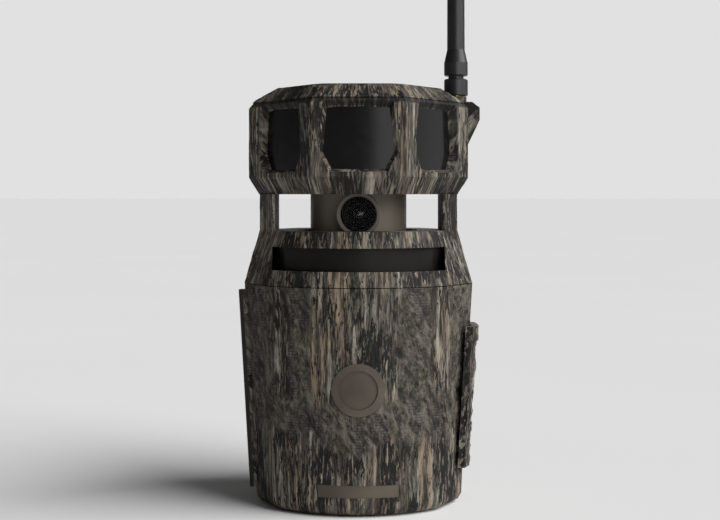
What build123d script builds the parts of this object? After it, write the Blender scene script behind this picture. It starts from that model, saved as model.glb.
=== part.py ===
from build123d import *

import math
import os

# Cellular trail camera with a revolving lens turret.
# Units are millimetres and +Z is up. The front faces -Y, and the viewer's right is +X.
# The origin is the mouth of the tripod thread, in the plane of the flat base.

# ---------------------------------------------------------------- driving dimensions
WALL = 2.6              # moulded case wall
GAP = 0.4               # half the gap between the door and the rear housing
SPLIT_Y = -12.0         # plane where the door meets the rear housing
DOOR_TOP_Z = 112.0      # top of the tapered lower case
DOOR_FOOT_Z = 0.8       # the door hangs this far above the base plane
SLOT_Z = (119.5, 131.0)  # motion-sensor slot
DECK_Z = 139.0          # top of the deck under the turret
HEAD_Z = 157.5          # underside of the head
HEAD_WALL_Z = (166.0, 202.0)  # upright part of the head's facets
CAP_Z = 205.0           # joint between head and cap
TOP_Z = 212.0           # edge of the cap's crown
CROWN = 1.4             # rise of the crown

WELL_R = 31.0           # round wells that the turret turns in
DECK_WELL_Z = 133.4     # floor of the lower well
HEAD_WELL_Z = 162.4     # ceiling of the upper well
TURRET_R = 25.0
TURRET_Z = (134.4, 161.0)
LENS_Z = 147.3
SHAFT_R = 6.0

WHIP_X, WHIP_Y = 52.0, 15.0   # aerial axis
WHIP_TOP_Z = 386.0
JACK_Z = 206.0          # top of the aerial boss
JACK_R = 3.1
WHIP_CLEAR_R = 6.8      # the cap is cut back this far round the aerial

BEARING_R = 11.0        # seat of the lower bush
UPPER_BUSH_R = 6.0
BACK_Y = 46.0
REAR_THREAD_Z = 60.0
PORT_X, PORT_Z = -26.0, 14.5    # external power socket

# Screws that hold the frame on the housing, the head on its posts and the bracket on the back.
SCREW_TOWERS = [(-51.6, 2.0), (51.6, 2.0), (-36.0, 40.2), (36.0, 40.2)]
POST_SCREWS = [(x, y) for x in (-45.6, 45.6) for y in (-4.0, 4.0)]
BRACKET_SCREWS = [(-12.0, 34.0), (12.0, 34.0), (-12.0, 86.0), (12.0, 86.0)]

# Sections of the case, from above: half width at the sides, the corner where the curved front
# ends, the foremost point, the flat of each side, and the flat back.
BASE = dict(half=52.0, corner=(42.0, -32.5), nose=-48.7, side=(-14.0, 22.0), back=(40.0, 46.0))
BELT = dict(half=58.5, corner=(44.5, -33.5), nose=-51.5, side=(-12.0, 24.0), back=(44.0, 46.0))
WAIST = dict(half=51.2, corner=(36.5, -31.0), nose=-47.5, side=(-5.0, 5.0), back=(33.0, 44.0))

# The head is a six-sided prism with its two side corners cut flat.
HEX_FRONT_X, HEX_FRONT_Y = 23.0, 50.0
HEX_SIDE_X, HEX_SIDE_Y = 57.0, 4.0
HEAD_SHELL = 6.0        # depth of the window frames
FOOT_SCALE = 0.905      # the head narrows to this at its underside
BROW_SCALE = 0.955
CROWN_SCALE = 0.83
CAP_CONE_R = (56.0, 40.4)   # of the cone that rounds the cap's edge, at its foot and top

TAPER = (BELT["half"] - BASE["half"]) / DOOR_TOP_Z   # how fast the sides lean outwards


# ---------------------------------------------------------------- shared helpers
def case_section(section, z, inset=0.0):
    """A face at height z: curved front, canted sides and a flat back."""
    corner_x, corner_y = section["corner"]
    corner_x, corner_y = corner_x - 0.6 * inset, corner_y + 0.8 * inset
    half = section["half"] - inset
    front, rear = section["side"][0] + 0.4 * inset, section["side"][1] - 0.4 * inset
    back_x, back_y = section["back"][0] - 0.6 * inset, section["back"][1] - inset
    nose = ThreePointArc((-corner_x, corner_y), (0, section["nose"] + inset), (corner_x, corner_y))
    rest = Polyline(
        (corner_x, corner_y), (half, front), (half, rear), (back_x, back_y),
        (-back_x, back_y), (-half, rear), (-half, front), (-corner_x, corner_y),
    )
    return Pos(0, 0, z) * make_face([nose, rest]).face()


def between(low, high, share):
    """The case section a share of the way from one section to another."""
    def mix(a, b):
        return a + (b - a) * share
    mixed = {}
    for key, value in low.items():
        if isinstance(value, tuple):
            mixed[key] = tuple(mix(a, b) for a, b in zip(value, high[key]))
        else:
            mixed[key] = mix(value, high[key])
    return mixed


def lower_section(z, inset=0.0):
    return case_section(between(BASE, BELT, z / DOOR_TOP_Z), z, inset)


def shoulder_section(z, inset=0.0):
    share = (z - DOOR_TOP_Z) / (DECK_Z - DOOR_TOP_Z)
    return case_section(between(BELT, WAIST, share), z, inset)


def hex_points(inset=0.0, scale=1.0):
    """Corners of the head's plan, each facet moved inwards by inset."""
    run_x, run_y = HEX_SIDE_X - HEX_FRONT_X, HEX_FRONT_Y - HEX_SIDE_Y
    length = math.hypot(run_x, run_y)
    front_y = HEX_FRONT_Y - inset
    side_x = HEX_SIDE_X - inset
    reach = (HEX_FRONT_X * run_y + HEX_FRONT_Y * run_x) / length - inset
    front_x = (reach * length - front_y * run_x) / run_y
    side_y = (reach * length - side_x * run_y) / run_x
    quarter = [(front_x, -front_y), (side_x, -side_y), (side_x, side_y), (front_x, front_y)]
    if side_y <= 0:
        # Far enough in, the two facets of a side meet before they reach the flat corner.
        quarter[1:3] = [(reach * length / run_y, 0.0)]
    points = quarter + [(-x, y) for x, y in reversed(quarter)]
    return [(x * scale, y * scale) for x, y in points]


def hex_section(z, inset=0.0, scale=1.0):
    points = hex_points(inset, scale)
    return Pos(0, 0, z) * make_face(Polyline(*points, close=True)).face()


def prism(face, height):
    return extrude(face, amount=height, dir=(0, 0, 1))


def stack(*faces):
    """A solid through sections, with straight sides between them."""
    return loft(list(faces), ruled=True)


def rod(radius, z_low, z_high, x=0.0, y=0.0):
    return Pos(x, y, (z_low + z_high) / 2) * Cylinder(radius, z_high - z_low)


def tube(outer, inner, z_low, z_high, x=0.0, y=0.0):
    return rod(outer, z_low, z_high, x, y) - rod(inner, z_low - 1, z_high + 1, x, y)


def pin_y(radius, y_low, y_high, x, z):
    """A cylinder along Y."""
    return Pos(x, (y_low + y_high) / 2, z) * Rot(90, 0, 0) * Cylinder(radius, y_high - y_low)


def tube_y(outer, inner, y, x, z):
    """A tube along Y between a (low, high) pair."""
    return pin_y(outer, *y, x, z) - pin_y(inner, y[0] - 1, y[1] + 1, x, z)


def block(x, y, z):
    """A box from three (low, high) pairs."""
    size = [high - low for low, high in (x, y, z)]
    centre = [(low + high) / 2 for low, high in (x, y, z)]
    return Pos(*centre) * Box(*size)


def save(name, *solids):
    """Writes one sub-part; several solids go in as a group."""
    kept = [s for shape in solids for s in shape.solids()]
    export_step(kept[0] if len(kept) == 1 else Compound(children=kept), f"parts/{name}.step")


# ---------------------------------------------------------------- lower case: housing, door, seal
HINGE_OUT = 0.3         # the hinge axis stands this far outside the case wall
HINGE_R = 2.9
HINGE_PIN_R = 1.2
HINGE_SPAN = (8.0, 109.0)     # along the axis
HINGE_HOUSING = [(8.0, 20.0), (52.0, 65.0), (97.0, 109.0)]
HINGE_DOOR = [(20.3, 51.7), (65.3, 96.7)]
HINGE_TILT = math.degrees(math.atan(TAPER))
LATCH_AXIS_Y, LATCH_OUT = 10.0, 2.9
LATCH_PIN_R = 1.0
LATCH_SPAN = (19.0, 88.0)       # along the wall, like its pin
LATCH_KNUCKLE = (27.4, 79.6)    # the part of the latch that turns between the two lugs
LATCH_PAD_Z = (83.0, 90.5)
LATCH_T = 2.1                   # from the latch's axis in to its inner face
FIT = 0.05                      # a pin's clearance in its bore
PLAY = 0.3                      # end play of each knuckle
FLOOR_T = 3.0
FOOT_R = 6.0                    # rounding of the lower edges
TOWER_R = 3.6
LUGS = [(19.0, 27.0), (80.0, 88.0)]


def on_hinge_axis(solid):
    """Carries a solid drawn about the Z axis on to the leaning hinge axis."""
    return Pos(-(BASE["half"] + HINGE_OUT), SPLIT_Y, 0) * Rot(0, -HINGE_TILT, 0) * solid


def beside_wall(solid, y):
    """Carries a solid drawn about the Z axis on to the leaning right-hand wall."""
    return Pos(BASE["half"], y, 0) * Rot(0, HINGE_TILT, 0) * solid


def lower_blank():
    """The outer block of the tapered lower case, with rounded lower edges."""
    blank = stack(lower_section(0), lower_section(DOOR_TOP_Z))
    foot = blank.edges().filter_by(Plane.XY).group_by(Axis.Z)[0]
    return fillet(foot, FOOT_R)


def lower_hollow():
    return stack(lower_section(FLOOR_T, WALL), lower_section(DOOR_TOP_Z + 0.01, WALL))


def make_lower_case():
    blank, hollow = lower_blank(), lower_hollow()
    front = block((-80, 80), (-90, SPLIT_Y - GAP), (DOOR_FOOT_Z, DOOR_TOP_Z - 0.4))
    rear = block((-80, 80), (SPLIT_Y + GAP, 80), (0, DOOR_TOP_Z))
    door = (blank & front) - hollow
    housing = (blank & rear) - hollow
    # The door has a lip behind its top edge, so that it is a closed tray.
    lid = stack(lower_section(DOOR_TOP_Z - 3.0, WALL - 0.1), lower_section(DOOR_TOP_Z - 0.4, WALL - 0.1))
    door += lid & front

    for low, high in HINGE_DOOR:
        door += on_hinge_axis(rod(HINGE_R, low, high))
        housing -= on_hinge_axis(rod(HINGE_R + 0.5, low - PLAY, high + PLAY))
    for low, high in HINGE_HOUSING:
        door -= on_hinge_axis(rod(HINGE_R + 0.5, low - PLAY, high + PLAY))
        housing += on_hinge_axis(rod(HINGE_R, low, high))
    bore = on_hinge_axis(rod(HINGE_PIN_R + FIT, 0, 120))
    door, housing = door - bore, housing - bore

    # A bridge closes the housing's front rim under the middle frame.
    bridge = block((-80, 80), (SPLIT_Y + GAP, SPLIT_Y + 3.4), (DOOR_TOP_Z - 3.4, DOOR_TOP_Z))
    inner = stack(lower_section(DOOR_TOP_Z - 4, WALL - 0.1), lower_section(DOOR_TOP_Z, WALL - 0.1))
    housing += bridge & inner
    # Boss for the tripod insert, four screw towers and lugs for the latch.
    boss = rod(8.5, 0, 12.0) - rod(5.0, -1, 20)
    housing = housing - rod(5.0, -1, 20) + boss
    for x, y in SCREW_TOWERS:
        housing += (rod(TOWER_R, 84.0, DOOR_TOP_Z, x, y) & hollow) - rod(1.25, 90, 130, x, y)
    for low, high in LUGS:
        lug = Pos(LATCH_OUT, 0, 0) * (rod(2.4, low, high) + block((-4.4, 0), (-2.0, 4.0), (low, high)))
        housing += beside_wall(lug, LATCH_AXIS_Y) - hollow
    housing -= beside_wall(rod(LATCH_PIN_R + FIT, 0, 120, LATCH_OUT), LATCH_AXIS_Y)
    # Bosses for the bracket's screws, and the holes for the rear thread and the power socket.
    for x, z in BRACKET_SCREWS:
        housing += tube_y(3.4, 1.4, (37.0, 43.6), x, z)
    for x, z in BRACKET_SCREWS:
        housing -= pin_y(1.4, 43.0, 50.0, x, z)
    housing -= pin_y(4.0, 40, 60, 0, REAR_THREAD_Z)
    housing -= pin_y(4.5, 40, 60, PORT_X, PORT_Z)

    seal_outer = stack(lower_section(1.4, 0.9), lower_section(DOOR_TOP_Z - 1.0, 0.7))
    seal_inner = stack(lower_section(2.8, 2.3), lower_section(DOOR_TOP_Z - 2.5, 2.2))
    plane = block((-80, 80), (SPLIT_Y - 0.25, SPLIT_Y + GAP), (0, 120))
    keep_left = on_hinge_axis(rod(HINGE_R + 0.7, 0, 120))
    seal = ((seal_outer - seal_inner) & plane) - keep_left
    return housing, door, seal


def make_hinge_pin():
    return on_hinge_axis(rod(HINGE_PIN_R, HINGE_SPAN[0], HINGE_SPAN[1]))


def make_latch():
    """The clasp on the right: a lever along the wall and round the corner of the door, with a
    thicker thumb pad on top. Both plans are drawn round the latch's axis."""
    tip = [(-5.8, -32.0), (-LATCH_T, -24.6)]
    lever = [(-LATCH_T, -3.4), (0.6, -3.4), (0.8, -24.0), (-2.4, -32.0)] + tip
    pad = [(-LATCH_T, -3.4), (1.1, -3.4), (1.8, -14.0), (1.6, -24.0), (-1.8, -32.0)] + tip
    low, high = LATCH_SPAN
    pad_low, pad_high = LATCH_PAD_Z
    body = prism(Pos(LATCH_OUT, 0, low) * make_face(Polyline(*lever, close=True)).face(), high - low)
    body += prism(
        Pos(LATCH_OUT, 0, pad_low) * make_face(Polyline(*pad, close=True)).face(), pad_high - pad_low)
    body += rod(2.4, *LATCH_KNUCKLE, LATCH_OUT)
    body += block((LATCH_OUT - LATCH_T, LATCH_OUT + 0.6), (-4.0, 0.0), LATCH_KNUCKLE)
    body -= rod(LATCH_PIN_R + FIT, 0, 120, LATCH_OUT)
    for low, high in ((0, LATCH_KNUCKLE[0]), (LATCH_KNUCKLE[1], 120)):
        body -= block((LATCH_OUT - 6, LATCH_OUT + 2.9), (-2.9, 8), (low, high))
    return beside_wall(body, LATCH_AXIS_Y)


def make_latch_pin():
    return beside_wall(rod(LATCH_PIN_R, *LATCH_SPAN, LATCH_OUT), LATCH_AXIS_Y)


# ---------------------------------------------------------------- middle frame
POST_INNER_X = 42.5
SLOT_END_Y = 18.0
SLOT_HALF_W = 43.5


def make_middle_frame():
    """Shoulder, sensor slots, deck and the two posts that carry the head."""
    frame = stack(shoulder_section(DOOR_TOP_Z), shoulder_section(DECK_Z))
    frame -= stack(shoulder_section(DOOR_TOP_Z - 0.01, WALL), shoulder_section(SLOT_Z[1], WALL))
    for side in (-1, 1):
        reach = sorted((side * SLOT_END_Y, side * 80))
        frame -= block((-SLOT_HALF_W, SLOT_HALF_W), reach, SLOT_Z)
    frame -= rod(WELL_R, DECK_WELL_Z, DECK_Z + 1)
    frame -= rod(BEARING_R, 100, DECK_Z)
    post_plan = case_section(WAIST, DECK_Z)
    posts = prism(post_plan, HEAD_Z - DECK_Z)
    posts -= block((-POST_INNER_X, POST_INNER_X), (-80, 80), (DECK_Z - 1, HEAD_Z + 1))
    posts &= block((-80, 80), (-SLOT_END_Y, SLOT_END_Y), (DECK_Z, HEAD_Z))
    frame += posts
    frame += tube(BEARING_R + 3.0, BEARING_R, 125.2, DECK_WELL_Z)
    for x, y in POST_SCREWS:
        frame -= rod(1.25, 145.0, HEAD_Z + 1, x, y)
    # A ledge inside the shoulder carries the drive plate.
    ledge = stack(shoulder_section(112.6, WALL - 0.1), shoulder_section(115.0, WALL - 0.1))
    ledge -= prism(case_section(BELT, 112, 6.5), 10)
    frame += ledge
    # Screw bosses, with a counterbore for each head.
    blank = stack(shoulder_section(DOOR_TOP_Z), shoulder_section(DECK_Z))
    for x, y in SCREW_TOWERS:
        frame += rod(TOWER_R, DOOR_TOP_Z, 116.0, x, y) & blank
    for x, y in SCREW_TOWERS:
        frame -= rod(1.6, 100, 117, x, y) + rod(2.9, 113.8, 117, x, y)
    return frame


# ---------------------------------------------------------------- head
FACET_LEAN = 90.0 - math.degrees(math.atan2(HEX_SIDE_X - HEX_FRONT_X, HEX_FRONT_Y - HEX_SIDE_Y))
FACET_TURNS = {
    "front": 0.0, "front_right": FACET_LEAN, "rear_right": 180.0 - FACET_LEAN,
    "rear": 180.0, "rear_left": 180.0 + FACET_LEAN, "front_left": -FACET_LEAN,
}
SIDE_FACET_MID = ((HEX_FRONT_X + HEX_SIDE_X) / 2, -(HEX_FRONT_Y + HEX_SIDE_Y) / 2)
WINDOW_DEPTH = 4.2      # how far a pane stands back from its facet
PANE_T = 1.6
# Half outlines of a window on its facet, as (across, height), right-hand side only.
PANE_OUTLINE = [(12.9, 170.0), (17.4, 178.2), (15.2, 199.4)]
FRAME_OUTLINE = [(14.6, 168.2), (19.6, 178.0), (17.4, 204.6)]


def facet_frame(name):
    """Place of a facet: its middle in plan, and its turn about Z from facing -Y."""
    if name in ("front", "rear"):
        middle = (0.0, -HEX_FRONT_Y if name == "front" else HEX_FRONT_Y)
    else:
        x, y = SIDE_FACET_MID
        middle = (x if name.endswith("right") else -x, y if name.startswith("front") else -y)
    return Pos(middle[0], middle[1], 0) * Rot(0, 0, FACET_TURNS[name])


def window_face(outline, depth, grow=0.0):
    """A window outline as a face parallel to the facet, depth behind it. Drawn facing -Y."""
    right = [(x + grow, z + (grow if i == len(outline) - 1 else -grow if i == 0 else 0))
             for i, (x, z) in enumerate(outline)]
    left = [(-x, z) for x, z in reversed(right)]
    points = [(x, depth, z) for x, z in right + left]
    return make_face(Polyline(*points, close=True)).face()


def window_cutter():
    funnel = loft([window_face(FRAME_OUTLINE, -0.6), window_face(PANE_OUTLINE, WINDOW_DEPTH)], ruled=True)
    through = extrude(window_face(PANE_OUTLINE, WINDOW_DEPTH - 0.1), amount=12, dir=(0, 1, 0))
    return funnel + through


def pane_pocket():
    return extrude(window_face(PANE_OUTLINE, WINDOW_DEPTH, 1.3), amount=12, dir=(0, 1, 0))


def aerial_boss():
    """The wedge on the head's right shoulder that carries the aerial."""
    side = Polyline(
        (40.0, JACK_Z), (59.6, JACK_Z), (63.6, 203.0), (63.6, 196.6), (55.6, 179.6), (40.0, 179.6),
        close=True,
    )
    wedge = extrude(Rot(90, 0, 0) * make_face(side).face(), amount=23, dir=(0, 1, 0))
    return Pos(0, 3.0, 0) * wedge


def make_head_shell():
    """Six window facets round a hollow, with a floor that holds the upper well."""
    outer = stack(hex_section(HEAD_Z, scale=FOOT_SCALE), hex_section(HEAD_WALL_Z[0]))
    outer += prism(hex_section(HEAD_WALL_Z[0]), HEAD_WALL_Z[1] - HEAD_WALL_Z[0])
    outer += stack(hex_section(HEAD_WALL_Z[1]), hex_section(CAP_Z, scale=BROW_SCALE))
    outer += aerial_boss()
    shell = outer - prism(hex_section(166.0, HEAD_SHELL), 60)
    for name in FACET_TURNS:
        shell -= facet_frame(name) * window_cutter()
        shell -= facet_frame(name) * pane_pocket()
    shell -= rod(WELL_R, HEAD_Z - 1, HEAD_WELL_Z)
    shell -= rod(UPPER_BUSH_R, HEAD_Z, 170.0)
    shell += rod(5.6, JACK_Z - 0.1, JACK_Z + 3.4, WHIP_X, WHIP_Y)
    shell -= rod(JACK_R + 0.05, 195.0, JACK_Z + 4, WHIP_X, WHIP_Y)
    for x, y in POST_SCREWS:
        shell -= rod(1.6, HEAD_Z - 1, 170.0, x, y)
    return shell


def make_head_cap():
    """The faceted roof: a canted rim and a slightly crowned top, hollow underneath."""
    edge = hex_section(TOP_Z, scale=CROWN_SCALE)
    blank = stack(hex_section(CAP_Z, scale=BROW_SCALE + 0.012), edge)
    blank += stack(edge, hex_section(TOP_Z + CROWN, scale=0.45))
    # A flat cone takes the corners off towards the top, so that the roof's edge is rounder.
    height = TOP_Z + CROWN - CAP_Z
    cap = blank & (Pos(0, 0, CAP_Z + height / 2) * Cone(*CAP_CONE_R, height))
    cap -= stack(hex_section(CAP_Z - 0.01, scale=0.80), hex_section(TOP_Z - 2.4, scale=0.72))
    plug = prism(hex_section(CAP_Z - 3.0, HEAD_SHELL + 0.3), 3.0)
    plug -= prism(hex_section(CAP_Z - 4.0, HEAD_SHELL + 2.5), 5.0)
    cap += plug
    cap -= rod(WHIP_CLEAR_R, CAP_Z - 5, TOP_Z + 5, WHIP_X, WHIP_Y)
    cap -= block((36, 80), (2.7, 26.3), (CAP_Z - 0.1, JACK_Z + 0.2))
    return cap


def make_panes():
    pane = extrude(window_face(PANE_OUTLINE, WINDOW_DEPTH + 0.05, 1.0), amount=PANE_T, dir=(0, 1, 0))
    return [facet_frame(name) * pane for name in FACET_TURNS]


# ---------------------------------------------------------------- turret
BOSS_R, BOSS_Y = 11.2, -28.4
LENS_BORE_R = 9.0


def make_turret_drum():
    low, high = TURRET_Z
    drum = rod(TURRET_R, low, high) + pin_y(BOSS_R, BOSS_Y, -16.0, 0, LENS_Z)
    drum -= rod(TURRET_R - 2.2, low + 2.2, high + 1)
    drum -= pin_y(LENS_BORE_R, BOSS_Y - 1, -10.0, 0, LENS_Z)
    drum += tube(SHAFT_R, 3.6, 116.9, low + 0.1)
    drum -= rod(3.6, 116.0, low + 3)
    rim = drum.edges().filter_by(GeomType.CIRCLE).filter_by_position(Axis.Y, BOSS_Y - 0.1, BOSS_Y + 0.1)
    return chamfer(rim, 0.5)


def make_turret_parts():
    low, high = TURRET_Z
    lid = rod(TURRET_R - 2.3, high - 2.0, high) + rod(4.0, high - 0.1, 166.6)
    bezel = pin_y(LENS_BORE_R - 0.05, BOSS_Y + 1.1, -15.0, 0, LENS_Z)
    funnel = Pos(0, BOSS_Y + 1.1 + 2.2, LENS_Z) * Rot(90, 0, 0) * Cone(4.2, 8.0, 4.4)
    bezel = bezel - funnel - pin_y(3.0, BOSS_Y, -10, 0, LENS_Z)
    glass = pin_y(LENS_BORE_R - 0.15, BOSS_Y + 0.3, BOSS_Y + 1.05, 0, LENS_Z)
    element = pin_y(2.95, BOSS_Y + 3.0, -16.0, 0, LENS_Z)
    element = fillet(element.edges().group_by(Axis.Y)[0], 1.6)
    module = block((-9, 9), (-14.8, -9.0), (LENS_Z - 9, LENS_Z + 9))
    module += block((-5.5, 5.5), (-9.1, 2.0), (LENS_Z - 6, LENS_Z + 6))
    return {
        "turret_lid": lid, "lens_bezel": bezel, "lens_cover_glass": glass,
        "lens_element": element, "camera_module": module,
    }


# ---------------------------------------------------------------- gear drive
GEAR_MODULE = 0.7
GEAR_TEETH, PINION_TEETH = 56, 14
PRESSURE_ANGLE = math.radians(25.0)
BACKLASH = 0.16
GEAR_Z = (118.4, 122.4)
MOTOR_Y = GEAR_MODULE * (GEAR_TEETH + PINION_TEETH) / 2
PLATE_Z = (115.0, 116.6)


def gear_face(teeth, turn):
    """A spur gear's outline: involute flanks in a few straight steps, one tooth centred at turn."""
    pitch_r = GEAR_MODULE * teeth / 2
    base_r = pitch_r * math.cos(PRESSURE_ANGLE)
    tip_r, root_r = pitch_r + 0.8 * GEAR_MODULE, pitch_r - 1.15 * GEAR_MODULE
    half_pitch_tooth = math.pi / (2 * teeth) - BACKLASH / (2 * pitch_r)

    def involute(radius):
        angle = math.acos(min(1.0, base_r / radius))
        return math.tan(angle) - angle

    start = max(base_r, root_r + 0.05)
    radii = [root_r] + [start + (tip_r - start) * i / 4 for i in range(5)]
    flank = [
        (r, half_pitch_tooth + involute(pitch_r) - involute(max(r, base_r))) for r in radii
    ]
    points = []
    for tooth in range(teeth):
        centre = turn + 2 * math.pi * tooth / teeth
        for r, half in flank:
            points.append((r * math.cos(centre - half), r * math.sin(centre - half)))
        for r, half in reversed(flank):
            points.append((r * math.cos(centre + half), r * math.sin(centre + half)))
    return make_face(Polyline(*points, close=True)).face()


def make_drive():
    gear = prism(Pos(0, 0, GEAR_Z[0]) * gear_face(GEAR_TEETH, math.pi / 2), GEAR_Z[1] - GEAR_Z[0])
    gear -= rod(SHAFT_R + 0.02, 100, 130)
    for k in range(6):
        angle = math.radians(60 * k + 30)
        gear -= rod(3.4, 100, 130, 12.2 * math.cos(angle), 12.2 * math.sin(angle))
    # The pinion has a gap facing the gear, because the gear has a tooth there.
    gap_turn = -math.pi / 2 + math.pi / PINION_TEETH
    pinion = prism(Pos(0, MOTOR_Y, GEAR_Z[0]) * gear_face(PINION_TEETH, gap_turn), GEAR_Z[1] - GEAR_Z[0])
    pinion += rod(1.5, 110.0, GEAR_Z[1] + 1.0, 0, MOTOR_Y)
    motor = rod(10.0, 98.0, PLATE_Z[0] - 0.1, 0, MOTOR_Y)
    motor -= rod(1.6, 109.5, 130, 0, MOTOR_Y)
    motor += block((-17.5, 17.5), (MOTOR_Y - 3.5, MOTOR_Y + 3.5), (113.6, PLATE_Z[0] - 0.1)) - rod(
        9.0, 100, 120, 0, MOTOR_Y)
    plate = prism(shoulder_section(PLATE_Z[0], 4.2), PLATE_Z[1] - PLATE_Z[0])
    plate -= rod(4.0, 100, 130) + rod(2.4, 100, 130, 0, MOTOR_Y)
    for x, y in SCREW_TOWERS:
        plate -= rod(4.6, 100, 130, x, y)
    gear += tube(8.4, SHAFT_R + 0.02, 117.1, GEAR_Z[0] + 0.1)
    lower_bush = tube(BEARING_R - 0.03, SHAFT_R + 0.05, 125.2, DECK_WELL_Z)
    lower_bush -= rod(TURRET_R, DECK_WELL_Z - 0.01, 140)
    upper_bush = tube(UPPER_BUSH_R - 0.03, 4.05, HEAD_WELL_Z, 167.0)
    return {
        "turret_gear": gear, "drive_pinion": pinion,
        "turret_motor": motor, "drive_plate": plate,
        "lower_bush": lower_bush, "upper_bush": upper_bush,
    }


# ---------------------------------------------------------------- motion sensors
LENS_BAND_Z = (116.7, 130.9)
SENSOR_R = 37.0


def make_sensors():
    height = LENS_BAND_Z[1] - LENS_BAND_Z[0]
    low = LENS_BAND_Z[0]
    top_section = between(BELT, WAIST, (SLOT_Z[1] - DOOR_TOP_Z) / (DECK_Z - DOOR_TOP_Z))
    outer = prism(case_section(top_section, low, WALL + 0.3), height)
    inner = prism(case_section(top_section, low - 1, WALL + 1.7), height + 2)
    band = outer - inner
    parts = {
        "motion_lens_front": band & block((-80, 80), (-80, -15.0), (100, 140)),
        "motion_lens_rear": band & block((-80, 80), (15.0, 80), (100, 140)),
        "sensor_ring_board": tube(33.0, 31.8, PLATE_Z[1], 129.0),
    }
    can = Pos(0, -SENSOR_R + 1.9, 123.6) * Rot(90, 0, 0) * Cylinder(4.2, 4.0)
    parts["motion_sensors"] = [Rot(0, 0, turn) * can for turn in FACET_TURNS.values()]
    return parts


# ---------------------------------------------------------------- infrared lamps in the head
def make_lamps():
    carrier = prism(hex_section(167.4, 13.6), 33.0) - prism(hex_section(160.0, 15.4), 50.0)
    board = block((-14.0, 14.0), (12.2, 13.4), (170.5, 198.5))
    lamps = [
        Pos(x, 10.2, z) * Rot(90, 0, 0) * Cylinder(2.5, 3.8)
        for x in (-9.0, -3.0, 3.0, 9.0) for z in (176.5, 184.5, 192.5)
    ]
    boards = [facet_frame(name) * board for name in FACET_TURNS]
    all_lamps = [facet_frame(name) * lamp for name in FACET_TURNS for lamp in lamps]
    return carrier, boards, all_lamps


# ---------------------------------------------------------------- aerial
COLLAR_Z = (209.8, 218.8)
SLEEVE_Z = (220.5, 227.5)
AERIAL_R, WHIP_R = 6.3, 4.7
NECK_R = 4.1
TAPER_H = 7.0           # the sleeve narrows to the whip over this height


def make_aerial():
    """Threaded jack in the boss, loose knurled collar, and the whip that turns in the collar."""
    jack = rod(JACK_R, 195.1, 215.0) - rod(1.0, 205.0, 216.0)
    collar = rod(AERIAL_R, *COLLAR_Z)
    collar = chamfer(collar.edges().filter_by(GeomType.CIRCLE), 0.5)
    collar -= rod(JACK_R + 0.05, COLLAR_Z[0] - 1, 215.3)
    collar -= rod(NECK_R + 0.8, 215.3, 217.0) + rod(NECK_R + 0.05, 216.9, 220)
    neck = rod(NECK_R + 0.6, 215.5, 216.7) + rod(NECK_R, 215.5, SLEEVE_Z[0] + 0.1)
    sleeve = rod(AERIAL_R, *SLEEVE_Z)
    sleeve = chamfer(sleeve.edges().group_by(Axis.Z)[0], 0.5)
    taper = Pos(0, 0, SLEEVE_Z[1] + TAPER_H / 2) * Cone(AERIAL_R, WHIP_R, TAPER_H)
    length = WHIP_TOP_Z - SLEEVE_Z[1] - TAPER_H
    shaft = Pos(0, 0, WHIP_TOP_Z - length / 2) * Cone(WHIP_R, WHIP_R - 0.3, length)
    shaft = fillet(shaft.edges().group_by(Axis.Z)[-1], 3.0)
    place = Pos(WHIP_X, WHIP_Y, 0)
    return place * jack, place * collar, place * (neck + sleeve + taper + shaft)


# ---------------------------------------------------------------- controls behind the door
PANEL_Y = -25.0
PANEL_X, PANEL_Z = 40.0, (62.0, 108.0)
KEY_CENTRE = (20.0, 92.5)
KEY_STEP = 9.0
KEY_R = 3.2
KEYS = {
    "ok": (0, 0), "up": (0, 1), "down": (0, -1), "left": (-1, 0), "right": (1, 0),
}
SWITCH_X, SWITCH_Z = -20.0, 72.0
CARD_X, CARD_Z = (8.0, 32.0), (68.0, 70.1)
BOARD_Y = (-18.0, -16.4)


def key_place(name):
    step_x, step_z = KEYS[name]
    return KEY_CENTRE[0] + KEY_STEP * step_x, KEY_CENTRE[1] + KEY_STEP * step_z


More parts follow.
